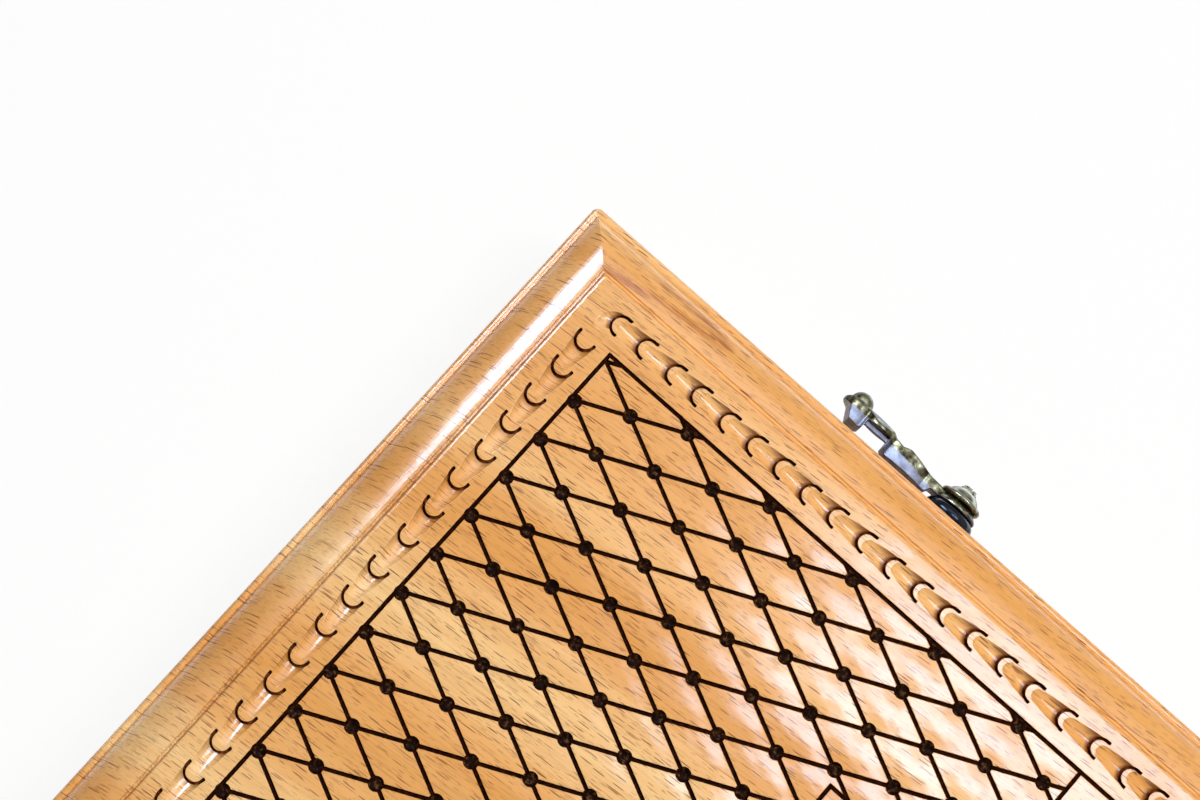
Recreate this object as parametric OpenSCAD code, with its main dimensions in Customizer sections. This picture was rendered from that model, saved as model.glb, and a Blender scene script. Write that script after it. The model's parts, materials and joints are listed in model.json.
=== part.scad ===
// Folding wooden backgammon board with carved outer panels, swing hook clasps, checkers and dice.
// It is drawn closed and lying flat. The origin is the middle of its underside, X runs along the
// long sides, the clasps are on the -Y side and the hinges on the +Y side. All sizes are in mm.

/* [Board] */
// Length of the closed board along its long sides
board_l = 600; // [560:5:700]
// Width of the closed board across its short ends
board_w = 300; // [280:5:340]
// Height of one half, from its carved face to its rim
half_h = 28; // [27:0.5:36]
// Gap between the two rims when the board is closed
rim_gap = 0.3; // [0.2:0.1:0.6]
// Thickness of the mitred walls
wall_t = 12; // [10:0.5:16]
// Thickness of the carved outer panels
panel_t = 12; // [10:0.5:14]
// Thickness of the boards that carry the playing field
field_t = 3; // [2:0.5:5]
// Radius of the four upright corners of the board
corner_r = 2.4; // [0.5:0.1:4]

/* [Panel moulding] */
// Height of the thin lip at the outline, above the inner face of the panel
lip_h = 5; // [3:0.5:6]
// Radius of the small bead that rounds the lip
lip_bead_r = 1.2; // [0.4:0.1:1.5]
// Radius of the ovolo, the large quarter round
ovolo_r = 13.2; // [12:0.2:15]
// Distance from the outline to the middle line of the ovolo
ovolo_in = 13.4; // [12.6:0.2:15]
// Depth of the crown of the ovolo below the field
crown_d = 0.7; // [0.4:0.1:1.2]
// Distance from the outline to the step up to the field
step_in = 14; // [13:0.2:16]
// Width of the narrow sunk ledge between the ovolo and the step
ledge_w = 1.6; // [0.4:0.1:2]
// Depth of the ledge below the field
ledge_d = 1.1; // [0.8:0.1:1.6]

/* [Carving] */
// Distance from the outline to the middle of the dark frame line
frame_in = 28; // [24:1:34]
// Width of the dark carved lines
line_w = 1.1; // [0.8:0.1:1.6]
// Depth of the dark carved lines
line_d = 0.8; // [0.4:0.1:1.2]
// Number of lozenges across the width of the lattice
lozenges_n = 19; // [15:1:19]
// Length of a lozenge, along the board
lozenge_l = 26.86; // [22:0.1:30]
// Gap between the frame line and the lattice along the long sides
lattice_side_gap = 1.77; // [1.2:0.01:2.4]
// Distance from the frame line at an end to the line that closes the lattice
lattice_l = 153.5; // [130:0.5:170]
// Radius of the dots that are drilled where the lattice lines cross
dot_r = 2; // [1.4:0.1:2.4]
// Depth of the drilled dots
dot_d = 1.2; // [0.6:0.1:1.6]
// Length of the plain panel in the middle, between its dark lines
centre_l = 324.8; // [280:0.2:360]
// Width of the plain panel in the middle, between its dark lines
centre_w = 157.2; // [120:0.2:180]

/* [Playing field] */
// Number of points along one end of one half
points_n = 6; // [6:1:6]
// Length of a point
point_l = 232; // [200:1:240]
// Gap between the bases of two points
point_gap = 3; // [1:0.5:6]
// Thickness of the inlaid points
inlay_t = 1; // [0.6:0.1:1.6]
// Radius of the round finial on the tip of a point
finial_r = 4; // [2:0.5:6]

/* [Hinges] */
// Distance from the middle of the board to the middle of a hinge
hinge_x = 170; // [120:5:220]
// Length of a hinge
hinge_l = 50; // [40:1:70]
// Distance from the hinge axis to the inner edge of a leaf
leaf_w = 10.5; // [9:0.5:12]
// Thickness of a hinge leaf
leaf_t = 1.2; // [1:0.1:1.6]
// Radius of a hinge knuckle
knuckle_r = 2.5; // [2.2:0.1:3]
// Radius of a hinge pin
hinge_pin_r = 1.2; // [1:0.1:1.4]
// Distance of the hinge axis behind the back wall
hinge_out = 0.5; // [0.3:0.1:1]
// Radius of a hinge screw's shank
hinge_screw_r = 1; // [0.8:0.1:1.2]
// Radius of a hinge screw's countersunk head
hinge_screw_head_r = 2.1; // [1.8:0.1:2.4]
// Length of a hinge screw
hinge_screw_l = 8; // [6:0.5:10]
// Number of screws in a hinge leaf
hinge_screws_n = 3; // [2:1:4]

/* [Clasps] */
// Distance from the middle of the board to the pivot of a hook
clasp_x = 182; // [140:2:220]
// Height of the pivot above the rim of the upper half
pivot_up = 7.5; // [7:0.5:9]
// Radius of the round base
base_r = 7.4; // [6.5:0.1:9]
// Thickness of the round base
base_h = 4.4; // [3.8:0.1:5]
// Radius of the pivot screw's shank
pivot_r = 1.5; // [1.2:0.1:2]
// Radius of the pivot screw's flange
flange_r = 5.95; // [5:0.05:7]
// Thickness of the hook's hub
hub_h = 2.2; // [1.8:0.1:3]
// Radius of the hook's hub
hub_r = 6.5; // [5.5:0.1:7]
// Distance from the pivot to the middle of the keeper
keeper_reach = 27.8; // [27:0.1:28.5]
// Height of the keeper above the underside of the board
keeper_z = 20; // [18:0.5:21]
// Radius of the keeper stud
keeper_r = 2.5; // [2:0.1:2.8]
// Height of the keeper stud above the wall
keeper_h = 6.2; // [5.8:0.1:6.4]
// Radius of the ball knob at the end of the hook
knob_r = 3.2; // [2.5:0.1:3.5]
// Distance from the pivot to the middle of the ball knob
knob_reach = 35.2; // [34.5:0.1:36]

/* [Checkers and dice] */
// Diameter of a checker
checker_d = 38; // [30:0.5:38]
// Thickness of a checker
checker_h = 9; // [7:0.5:11]
// Width of a die
die_w = 12; // [10:0.5:13]
// Radius of a pip on a die
pip_r = 1.2; // [0.9:0.1:1.4]

/* [Clearances] */
// Gap between two checkers, and between the checkers and the long wall
checker_gap = 0.3; // [0.1:0.1:0.5]
// Running gap of a pin in its bore
pin_gap = 0.05; // [0.02:0.01:0.1]
// Gap between a turning piece and its neighbour
side_gap = 0.3; // [0.2:0.1:0.4]
// Gap along the pivot of a hook
pivot_gap = 0.1; // [0.05:0.05:0.2]

/* [Hidden] */
$fn = 64;
closed_h = 2 * half_h + rim_gap;
wall_h = half_h - panel_t;
inner_l = board_l - 2 * wall_t;
inner_w = board_w - 2 * wall_t;
field_z = panel_t + field_t;
crown_h = panel_t - crown_d;
point_pitch = inner_w / points_n;

frame_x = board_l / 2 - frame_in;
frame_y = board_w / 2 - frame_in;
lozenge_w = 2 * (frame_y - lattice_side_gap) / lozenges_n;
dot_columns = floor((lattice_l - dot_r) / (lozenge_l / 2));
dot_rows = 2 * lozenges_n;

hinge_y = board_w / 2 + hinge_out;
hinge_z = half_h + rim_gap / 2;
knuckle_l = (hinge_l - 2 * side_gap) / 3;
hinge_screw_y = hinge_y - (leaf_w + knuckle_r + side_gap) / 2;
hinge_screw_pitch = hinge_l / hinge_screws_n;
pin_head_r = hinge_pin_r + 0.5;
pin_head_l = 0.6;

pivot_z = half_h + rim_gap + pivot_up;
keeper_x = sqrt(pow(keeper_reach, 2) - pow(pivot_z - keeper_z, 2));
hub_z = base_h + pivot_gap;
hub_top = hub_z + hub_h;
flange_z = hub_top + pivot_gap;
flange_h = 1.6;
dome_h = 2.9;
button_r = 2.4;
button_h = 1;
pivot_screw_l = 8;
throat_w = 2 * keeper_r + 2.4;
bridge_z = keeper_h + 0.6;
crest_z = bridge_z + 3.4;

checker_room = checker_d + checker_gap;
checkers_per_row = floor(inner_l / checker_room);
checker_pitch = inner_l / checkers_per_row;
checker_y = inner_w / 2 - checker_d / 2 - checker_gap;
dice_y = checker_y - checker_d / 2 - die_w;
dice_places = [[-14, dice_y + 2, 12], [12, dice_y, -25]];
dice_turns = [[0, 0, 0], [90, 0, 90]];

// Places a half's piece, which is drawn with its carved face down at z = 0, in the upper half.
module in_upper() {
    translate([0, 0, closed_h]) mirror([0, 0, 1]) children();
}

// Places a piece on the clasp side of the board: its X runs along the wall, its Y up and its Z out.
module on_front(x, z) {
    translate([x, -board_w / 2, z]) rotate([90, 0, 0]) children();
}

// Rectangle with the board's round corners, centred on the origin.
module rounded_outline(length, width) {
    square([length - 2 * corner_r, width], center = true);
    square([length, width - 2 * corner_r], center = true);
    for (x = [-1, 1]) for (y = [-1, 1])
        translate([x * (length / 2 - corner_r), y * (width / 2 - corner_r)])
            circle(corner_r, $fn = 64);
}

// One side of the edge moulding, with the outline at x = 0 and the inner face at y = 0.
module moulding_side() {
    translate([lip_bead_r, 0]) square([step_in - lip_bead_r, lip_h]);
    square([lip_bead_r, lip_h - lip_bead_r]);
    translate([lip_bead_r, lip_h - lip_bead_r]) circle(lip_bead_r);
    intersection() {
        translate([ovolo_in, crown_h - ovolo_r]) circle(ovolo_r, $fn = 128);
        square([step_in - ledge_w, crown_h]);
    }
}

// Cross-section of a panel of the given width, with its inner face at y = 0.
module panel_section(width) {
    for (side = [0, 1]) mirror([side, 0]) translate([-width / 2, 0]) moulding_side();
    ledge_l = width - 2 * (step_in - ledge_w);
    translate([-ledge_l / 2, 0]) square([ledge_l, panel_t - ledge_d]);
    field_l = width - 2 * step_in;
    translate([-field_l / 2, 0]) square([field_l, panel_t]);
}

// Bar along X or Y with the panel's cross-section, which faces down as in the lower half.
module panel_bar(length, width) {
    translate([-length / 2, 0, panel_t]) rotate([90, 0, 90]) mirror([0, 1])
        linear_extrude(length) panel_section(width);
}

// Rectangular line, centred on a rectangle of the given size.
module line_ring(length, width) {
    difference() {
        square([length + line_w, width + line_w], center = true);
        square([length - line_w, width - line_w], center = true);
    }
}

// Dark lines of a panel: the frame, the two lines that close the lattice and the plain centre.
module panel_lines() {
    line_ring(2 * frame_x, 2 * frame_y);
    for (side = [-1, 1]) difference() {
        translate([side * (frame_x - lattice_l), 0]) square([line_w, 2 * frame_y], center = true);
        square([centre_l, centre_w], center = true);
    }
    line_ring(centre_l, centre_w);
}

// A dot stays clear of the plain centre by its own radius.
function clear_of_centre(x, y) =
    abs(x) > centre_l / 2 + dot_r + line_w || abs(y) > centre_w / 2 + dot_r + line_w;

// Dots at the crossings of the lattice on one end. The first row leans on the frame line.
module dots() {
    for (i = [0 : dot_columns]) for (j = [0 : dot_rows]) {
        x = frame_x - (i == 0 ? line_w / 2 + dot_r / 4 : i * lozenge_l / 2);
        y = (j - lozenges_n) * lozenge_w / 2;
        corner = i == 0 && (j == 0 || j == dot_rows);
        if ((i + j) % 2 == 0 && !corner && clear_of_centre(x, y)) translate([x, y])
            circle(dot_r, $fn = 24);
    }
}

// Carved outer panel. The two crossed bars meet in true mitres at the corners of the moulding.
module outer_panel() {
    color("burlywood") difference() {
        intersection() {
            panel_bar(board_l, board_w);
            rotate(90) panel_bar(board_w, board_l);
            linear_extrude(panel_t) rounded_outline(board_l, board_w);
        }
        translate([0, 0, -1]) linear_extrude(line_d + 1) panel_lines();
        for (turn = [0, 180]) rotate(turn) translate([0, 0, -1]) linear_extrude(dot_d + 1) dots();
    }
}

// Wall that ends in mitres, with its outer face along y = 0. Two walls share each round corner.
module mitred_wall(length) {
    translate([0, 0, panel_t]) linear_extrude(wall_h) intersection() {
        polygon([[-length / 2, 0], [length / 2, 0], [length / 2 - wall_t, wall_t],
            [-length / 2 + wall_t, wall_t]]);
        translate([0, length / 2]) rounded_outline(length, length);
    }
}

module end_wall(side) {
    color("tan") translate([side * board_l / 2, 0, 0]) rotate(side * 90) mitred_wall(board_w);
}

// Front wall, with a bore for each clasp screw at the given place and of the given size.
module front_wall(places, bore_r, bore_l) {
    color("tan") difference() {
        translate([0, -board_w / 2, 0]) mitred_wall(board_l);
        for (place = places) on_front(place[0], place[1]) translate([0, 0, -bore_l])
            cylinder(h = bore_l + 1, r = bore_r);
    }
}

module hinge_screw_places() {
    for (i = [0 : hinge_screws_n - 1])
        translate([(i - (hinge_screws_n - 1) / 2) * hinge_screw_pitch, hinge_screw_y, half_h])
            children();
}

// Back wall, with a mortise for each hinge leaf, room for the knuckles and bores for the screws.
module back_wall() {
    color("tan") difference() {
        translate([0, board_w / 2, 0]) rotate(180) mitred_wall(board_l);
        for (side = [-1, 1]) translate([side * hinge_x, 0, 0]) {
            translate([-hinge_l / 2, hinge_y - leaf_w, half_h - leaf_t])
                cube([hinge_l, leaf_w, leaf_t + 1]);
            translate([-hinge_l / 2 - pin_head_l - side_gap, hinge_y, hinge_z]) rotate([0, 90, 0])
                cylinder(h = hinge_l + 2 * (pin_head_l + side_gap), r = knuckle_r + side_gap);
            hinge_screw_places() translate([0, 0, -hinge_screw_l])
                cylinder(h = hinge_screw_l, r = hinge_screw_r);
        }
    }
}

// Outline of one point, with its base along x = 0 and a round finial on its tip.
module point_outline() {
    base = point_pitch - point_gap;
    polygon([[0, -base / 2], [point_l - finial_r, -finial_r / 4], [point_l - finial_r, finial_r / 4],
        [0, base / 2]]);
    translate([point_l - finial_r, 0]) circle(finial_r);
}

// Every second point of a half. The phase says which ones, so that the two colours alternate.
module point_outlines(phase) {
    for (end = [0, 1]) for (i = [0 : points_n - 1]) if ((i + end + phase) % 2 == 0)
        mirror([end, 0]) translate([-inner_l / 2, (i - (points_n - 1) / 2) * point_pitch])
            point_outline();
}

module field_points(phase) {
    translate([0, 0, field_z - inlay_t]) linear_extrude(inlay_t) point_outlines(phase);
}

// Board of the playing field, with a pocket for each inlaid point.
module field_board() {
    color("wheat") difference() {
        translate([-inner_l / 2, -inner_w / 2, panel_t]) cube([inner_l, inner_w, field_t]);
        for (phase = [0, 1]) translate([0, 0, field_z - inlay_t]) linear_extrude(inlay_t + 1)
            point_outlines(phase);
    }
}

module knuckle(x, length, radius) {
    translate([x, hinge_y, hinge_z]) rotate([0, 90, 0]) cylinder(h = length, r = radius);
}

// Start of each third of the hinge, where a knuckle sits.
function knuckle_x(third) = -hinge_l / 2 + third * (knuckle_l + side_gap);

// Hinge leaf with knuckles on the given thirds. The other thirds leave room for the other leaf.
module hinge_leaf(side, own, other, bore_r) {
    color("goldenrod") translate([side * hinge_x, 0, 0]) difference() {
        union() {
            translate([-hinge_l / 2, hinge_y - leaf_w, half_h - leaf_t])
                cube([hinge_l, leaf_w, leaf_t]);
            for (third = own) knuckle(knuckle_x(third), knuckle_l, knuckle_r);
        }
        for (third = other)
            knuckle(knuckle_x(third) - side_gap, knuckle_l + 2 * side_gap, knuckle_r + side_gap);
        knuckle(-hinge_l / 2 - 1, hinge_l + 2, bore_r);
        hinge_screw_places() hinge_screw_shape();
    }
}

module lower_leaf(side) {
    hinge_leaf(side, [0, 2], [1], hinge_pin_r);
}

module upper_leaf(side) {
    in_upper() hinge_leaf(side, [1], [0, 2], hinge_pin_r + pin_gap);
}

// Countersunk screw with the top of its head at z = 0.
module hinge_screw_shape() {
    rotate_extrude() polygon([[0, 0], [hinge_screw_head_r, 0], [hinge_screw_r, -leaf_t],
        [hinge_screw_r, -hinge_screw_l], [0, -hinge_screw_l]]);
}

module hinge_screws() {
    color("silver") for (side = [-1, 1]) translate([side * hinge_x, 0, 0])
        hinge_screw_places() hinge_screw_shape();
}

// Both hinge pins, each with a small head at its ends.
module hinge_pins() {
    color("silver") for (side = [-1, 1]) translate([side * hinge_x, 0, 0]) {
        knuckle(-hinge_l / 2, hinge_l, hinge_pin_r);
        for (x = [-hinge_l / 2 - pin_head_l, hinge_l / 2]) knuckle(x, pin_head_l, pin_head_r);
    }
}

// Round base of a clasp, with a half round edge.
module latch_bases() {
    color("dimgray") for (side = [-1, 1]) on_front(side * clasp_x, pivot_z) rotate_extrude() {
        translate([pivot_r, 0]) square([base_r - base_h / 2 - pivot_r, base_h]);
        translate([base_r - base_h / 2, base_h / 2]) circle(base_h / 2);
    }
}

// Half of the pivot screw's outline: shank, rounded flange, dome and button.
module latch_screw_outline() {
    dome_z = flange_z + flange_h;
    dome_r = flange_r - flange_h / 2 - 0.4;
    dome_sphere = (pow(dome_r, 2) + pow(dome_h, 2)) / (2 * dome_h);
    translate([0, -pivot_screw_l]) square([pivot_r, pivot_screw_l + flange_z]);
    translate([0, flange_z]) square([flange_r - flange_h / 2, flange_h]);
    translate([flange_r - flange_h / 2, flange_z + flange_h / 2]) circle(flange_h / 2);
    intersection() {
        translate([0, dome_z + dome_h - dome_sphere]) circle(dome_sphere);
        translate([0, dome_z]) square([dome_r, dome_h]);
    }
    translate([0, dome_z]) square([button_r - button_h / 2, dome_h + button_h / 2]);
    translate([button_r - button_h / 2, dome_z + dome_h - button_h / 2]) circle(button_h / 2);
    translate([0, dome_z]) square([button_r, dome_h - button_h / 2]);
}

module latch_screws() {
    slot_w = 0.8;
    slot_d = 1.2;
    top = flange_z + flange_h + dome_h + button_h / 2;
    color("gray") for (side = [-1, 1]) on_front(side * clasp_x, pivot_z) difference() {
        rotate_extrude() latch_screw_outline();
        for (turn = [20, 110]) rotate(turn) translate([-flange_r, -slot_w / 2, top - slot_d])
            cube([2 * flange_r, slot_w, slot_d + 1]);
    }
}

// Keeper studs: a round rose, a stud with a rounded end and a shank in the wall.
module latch_keepers() {
    rose_r = keeper_r + 1.6;
    rose_h = 1;
    round_r = 0.8;
    shank_r = keeper_r / 2;
    color("gray") for (side = [-1, 1]) on_front(side * clasp_x + keeper_x, keeper_z)
        rotate_extrude() {
            translate([0, -pivot_screw_l]) square([shank_r, pivot_screw_l + keeper_h]);
            square([rose_r - rose_h / 2, rose_h]);
            translate([rose_r - rose_h / 2, rose_h / 2]) circle(rose_h / 2);
            square([keeper_r, keeper_h - round_r]);
            square([keeper_r - round_r, keeper_h]);
            translate([keeper_r - round_r, keeper_h - round_r]) circle(round_r);
        }
}

// Side view of the hook's arm, x along the arm and y out from the wall. The heel passes beside
// the base, the bridge passes over the end of the keeper, and a lug stands on each side of it.
// On the front two leaves rise one behind the other towards the knob.
module hook_side() {
    heel_z = 2.9;
    heel_x = base_r + 0.8;
    lug_in = keeper_reach - throat_w / 2;
    lug_out = keeper_reach + throat_w / 2;
    tip = knob_reach + knob_r + 1.6;
    polygon([[0, hub_z], [heel_x, hub_z], [heel_x + 0.8, heel_z], [lug_in - 1.5, heel_z],
        [lug_in, heel_z + 1], [lug_in, bridge_z], [lug_out, bridge_z], [lug_out, heel_z + 1.2],
        [lug_out + 1, heel_z + 0.7], [lug_out + 4, heel_z + 0.9], [tip - 2.5, bridge_z + 0.4],
        [tip, bridge_z + 1], [tip, bridge_z + 1.8], [tip - 2, crest_z - 0.6], [lug_out, crest_z],
        [lug_in + 2, crest_z - 0.8], [lug_in - 4, bridge_z + 1.1], [lug_in - 6, bridge_z + 1.8],
        [hub_r + 3, hub_top + 0.5], [0, hub_top]]);
}

// Front view of the hook's arm, x along the arm and y up: a leaf, the throat that opens
// downwards round the keeper, and a lobe under the ball knob.
module hook_front() {
    leaf_r = 13;
    leaf_h = 4.2;
    leaf_x = (hub_r + keeper_reach) / 2;
    throat_top = keeper_r + pivot_gap;
    lobe_r = knob_r + 1.6;
    difference() {
        union() {
            translate([0, -2.6]) square([hub_r + 4, 5.2]);
            intersection() {
                translate([leaf_x, leaf_h - leaf_r]) circle(leaf_r);
                translate([leaf_x, leaf_r - leaf_h]) circle(leaf_r);
            }
            translate([leaf_x, -2.6]) square([knob_reach - leaf_x, 2 * 2.6]);
            translate([keeper_reach, throat_top - 1.4]) circle(throat_w / 2 + 1.6);
            translate([knob_reach - 0.4, 0]) circle(lobe_r);
        }
        translate([keeper_reach - throat_w, -12]) square([2 * throat_w, 12 - lobe_r]);
    }
}

// The web over the throat reaches in from the bridge, and the keeper stops against it.
module hook_web() {
    web_z = keeper_h - 0.8;
    web_y = keeper_r + pivot_gap;
    translate([keeper_reach - throat_w / 2 - 0.5, web_y, web_z])
        cube([throat_w + 1, 1.2, bridge_z - web_z + 0.5]);
}

// Swing hook, drawn with its pivot at the origin and its arm along X.
module hook_shape() {
    camber_r = 9.5;
    difference() {
        union() {
            intersection() {
                translate([0, 10, 0]) rotate([90, 0, 0]) linear_extrude(20) hook_side();
                linear_extrude(20) hook_front();
                translate([0, 0, crest_z - camber_r]) rotate([0, 90, 0])
                    cylinder(h = 60, r = camber_r, $fn = 96);
            }
            hook_web();
            translate([knob_reach, 0, crest_z - 0.6]) sphere(knob_r);
            translate([0, 0, hub_z]) rotate_extrude()
                polygon([[0, 0], [hub_r, 0], [hub_r, 0.6], [flange_r - 1, hub_h], [0, hub_h]]);
        }
        translate([0, 0, hub_z - 1]) cylinder(h = hub_h + 2, r = pivot_r + pin_gap);
        translate([0, 0, hub_top]) cylinder(h = 10, r = flange_r + side_gap);
    }
}

module hook(side) {
    color("gray") on_front(side * clasp_x, pivot_z) hook_shape();
}

// Turned checker: half round edge, a ring groove and a dished middle on both faces.
module checker_shape() {
    groove_r = 1;
    dish_r = 9;
    dish_d = 0.8;
    dish_sphere = (pow(dish_r, 2) + pow(dish_d, 2)) / (2 * dish_d);
    rotate_extrude() difference() {
        union() {
            square([checker_d / 2 - checker_h / 2, checker_h]);
            translate([checker_d / 2 - checker_h / 2, checker_h / 2]) circle(checker_h / 2);
        }
        for (y = [0, checker_h]) translate([checker_d / 2 - checker_h / 2 - groove_r, y])
            circle(groove_r);
        translate([0, checker_h - dish_d + dish_sphere]) circle(dish_sphere, $fn = 128);
        translate([0, dish_d - dish_sphere]) circle(dish_sphere, $fn = 128);
        translate([-checker_d, -1]) square([checker_d, checker_h + 2]);
    }
}

// Checker of a row that lies along a long wall: side -1 is the clasp side, side 1 the hinge side.
// What the row has no room for starts a second row beside it.
module checker(side, i) {
    column = (i - 1) % checkers_per_row;
    row = floor((i - 1) / checkers_per_row);
    translate([-inner_l / 2 + (column + 0.5) * checker_pitch, side * (checker_y - row * checker_room),
        field_z]) checker_shape();
}

module light_checker(i) {
    color("moccasin") checker(-1, i);
}

module dark_checker(i) {
    color("saddlebrown") checker(1, i);
}

// Pips of one face of a die that lies on its side, in steps from the middle of the face.
function pips(n) = n == 1 ? [[0, 0]]
    : n == 2 ? [[-1, -1], [1, 1]]
    : n == 3 ? concat(pips(1), pips(2))
    : n == 4 ? concat(pips(2), [[-1, 1], [1, -1]])
    : n == 5 ? concat(pips(1), pips(4))
    : concat(pips(4), [[-1, 0], [1, 0]]);

// Turns that bring each face of a die to the top. Opposite faces add up to seven.
face_turns = [[0, 0, 0], [90, 0, 0], [0, 90, 0], [0, -90, 0], [-90, 0, 0], [180, 0, 0]];

// Die with rounded corners and drilled pips.
module die_shape() {
    pip_step = die_w / 4;
    difference() {
        intersection() {
            cube(die_w, center = true);
            sphere(die_w * 0.72, $fn = 96);
        }
        for (n = [1 : 6]) rotate(face_turns[n - 1]) for (pip = pips(n))
            translate([pip[0] * pip_step, pip[1] * pip_step, die_w / 2 + pip_r * 0.4])
                sphere(pip_r, $fn = 24);
    }
}

module die(i) {
    color("ivory") translate([dice_places[i][0], dice_places[i][1], field_z + die_w / 2])
        rotate(dice_places[i][2]) rotate(dice_turns[i]) die_shape();
}

outer_panel();  // lower_outer_panel
front_wall([for (side = [-1, 1]) [side * clasp_x + keeper_x, keeper_z]], keeper_r / 2, pivot_screw_l);  // lower_front_wall
back_wall();  // lower_back_wall
end_wall(-1);  // lower_left_wall
end_wall(1);  // lower_right_wall
field_board();  // lower_field_board
color("sienna") field_points(0);  // lower_dark_points
color("navajowhite") field_points(1);  // lower_light_points
lower_leaf(-1);  // left_hinge_lower_leaf
lower_leaf(1);  // right_hinge_lower_leaf
hinge_pins();
hinge_screws();  // lower_hinge_screws
latch_keepers();
in_upper() outer_panel();  // upper_outer_panel
in_upper() front_wall([for (side = [-1, 1]) [side * clasp_x, closed_h - pivot_z]], pivot_r, pivot_screw_l);  // upper_front_wall
in_upper() back_wall();  // upper_back_wall
in_upper() end_wall(-1);  // upper_left_wall
in_upper() end_wall(1);  // upper_right_wall
in_upper() field_board();  // upper_field_board
color("sienna") in_upper() field_points(1);  // upper_dark_points
color("navajowhite") in_upper() field_points(0);  // upper_light_points
upper_leaf(-1);  // left_hinge_upper_leaf
upper_leaf(1);  // right_hinge_upper_leaf
in_upper() hinge_screws();  // upper_hinge_screws
latch_bases();
latch_screws();
hook(-1);  // left_hook
hook(1);  // right_hook
light_checker(1);  // light_checker_01
light_checker(2);  // light_checker_02
light_checker(3);  // light_checker_03
light_checker(4);  // light_checker_04
light_checker(5);  // light_checker_05
light_checker(6);  // light_checker_06
light_checker(7);  // light_checker_07
light_checker(8);  // light_checker_08
light_checker(9);  // light_checker_09
light_checker(10);  // light_checker_10
light_checker(11);  // light_checker_11
light_checker(12);  // light_checker_12
light_checker(13);  // light_checker_13
light_checker(14);  // light_checker_14
light_checker(15);  // light_checker_15
dark_checker(1);  // dark_checker_01
dark_checker(2);  // dark_checker_02
dark_checker(3);  // dark_checker_03
dark_checker(4);  // dark_checker_04
dark_checker(5);  // dark_checker_05
dark_checker(6);  // dark_checker_06
dark_checker(7);  // dark_checker_07
dark_checker(8);  // dark_checker_08
dark_checker(9);  // dark_checker_09
dark_checker(10);  // dark_checker_10
dark_checker(11);  // dark_checker_11
dark_checker(12);  // dark_checker_12
dark_checker(13);  // dark_checker_13
dark_checker(14);  // dark_checker_14
dark_checker(15);  // dark_checker_15
die(0);  // first_die
die(1);  // second_die
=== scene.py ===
import json
import math

import bmesh
import bpy
from mathutils import Matrix, Vector

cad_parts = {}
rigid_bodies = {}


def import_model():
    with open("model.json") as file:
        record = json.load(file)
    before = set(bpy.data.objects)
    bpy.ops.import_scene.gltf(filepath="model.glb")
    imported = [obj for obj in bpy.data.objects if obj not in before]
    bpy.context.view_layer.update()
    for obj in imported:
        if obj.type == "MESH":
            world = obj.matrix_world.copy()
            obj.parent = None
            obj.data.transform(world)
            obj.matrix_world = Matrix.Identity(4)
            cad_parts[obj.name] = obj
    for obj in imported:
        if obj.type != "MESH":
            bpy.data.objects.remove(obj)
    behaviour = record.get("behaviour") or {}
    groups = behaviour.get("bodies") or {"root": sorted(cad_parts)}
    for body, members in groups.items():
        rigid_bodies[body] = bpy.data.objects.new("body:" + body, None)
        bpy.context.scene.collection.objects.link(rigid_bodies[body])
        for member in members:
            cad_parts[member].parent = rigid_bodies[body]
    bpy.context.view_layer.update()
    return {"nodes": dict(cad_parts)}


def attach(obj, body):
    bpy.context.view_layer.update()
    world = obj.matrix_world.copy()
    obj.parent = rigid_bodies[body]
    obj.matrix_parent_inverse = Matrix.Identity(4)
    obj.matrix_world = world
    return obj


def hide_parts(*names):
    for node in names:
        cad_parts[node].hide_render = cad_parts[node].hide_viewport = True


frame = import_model()
MM = 0.001


# Blanks of the outer panels
# Each panel is one wide board of solid beech, 600 by 300 by 12 mm. A moulding is run round its
# edge: a thin lip with a bead, a large ovolo, a narrow ledge and a soft step up to the flat field.
panel_length = 600 * MM
panel_width = 300 * MM
panel_inside = 44.3 * MM
panel_face = 56.3 * MM
bead_r = 1.2
lip_top = 5.0
ovolo_r = 13.2
ovolo_centre = (13.4, -1.9)
ovolo_end = 12.45
ovolo_steps = 16
bead_turns = (20, 40, 60, 75, 90)
bead_valley = ((1.5, 4.98), (1.7, 4.92), (1.84, 4.86), (1.96, 4.9))
ledge_floor = ((12.52, 11.1), (12.7, 10.95), (13.0, 10.92), (13.22, 11.0), (13.38, 11.28))
field_shoulder = ((13.48, 11.54), (13.64, 11.74), (13.88, 11.89), (14.2, 11.975), (14.5, 12.0))
corner_play = 0.2
corner_r = 3.1
corner_block = 30


def leave_all():
    if bpy.context.mode != "OBJECT":
        bpy.ops.object.mode_set(mode="OBJECT")
    bpy.ops.object.select_all(action="DESELECT")


def edit():
    bpy.ops.object.mode_set(mode="EDIT")


def select_all():
    bpy.ops.mesh.select_all(action="SELECT")


def name_new(name):
    piece = bpy.context.active_object
    piece.name = name
    piece.data.name = name
    return piece


def add_copy(pattern, name, place):
    """A piece with a mesh of its own, copied from the pattern and moved to its place."""
    piece = bpy.data.objects.new(name, pattern.data.copy())
    piece.data.transform(place)
    bpy.context.scene.collection.objects.link(piece)
    return piece


def work_on(piece):
    leave_all()
    piece.select_set(True)
    bpy.context.view_layer.objects.active = piece


def select(piece, kind, wanted):
    """Selects those verts, edges or faces of a piece in edit mode that are wanted."""
    bpy.ops.mesh.select_mode(type=kind[:-1].upper())
    bpy.ops.mesh.select_all(action="DESELECT")
    edited = bmesh.from_edit_mesh(piece.data)
    for element in getattr(edited, kind):
        element.select_set(wanted(element))
    bmesh.update_edit_mesh(piece.data)


def fix_place(piece):
    work_on(piece)
    bpy.ops.object.transform_apply(location=True, rotation=True, scale=True)


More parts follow.
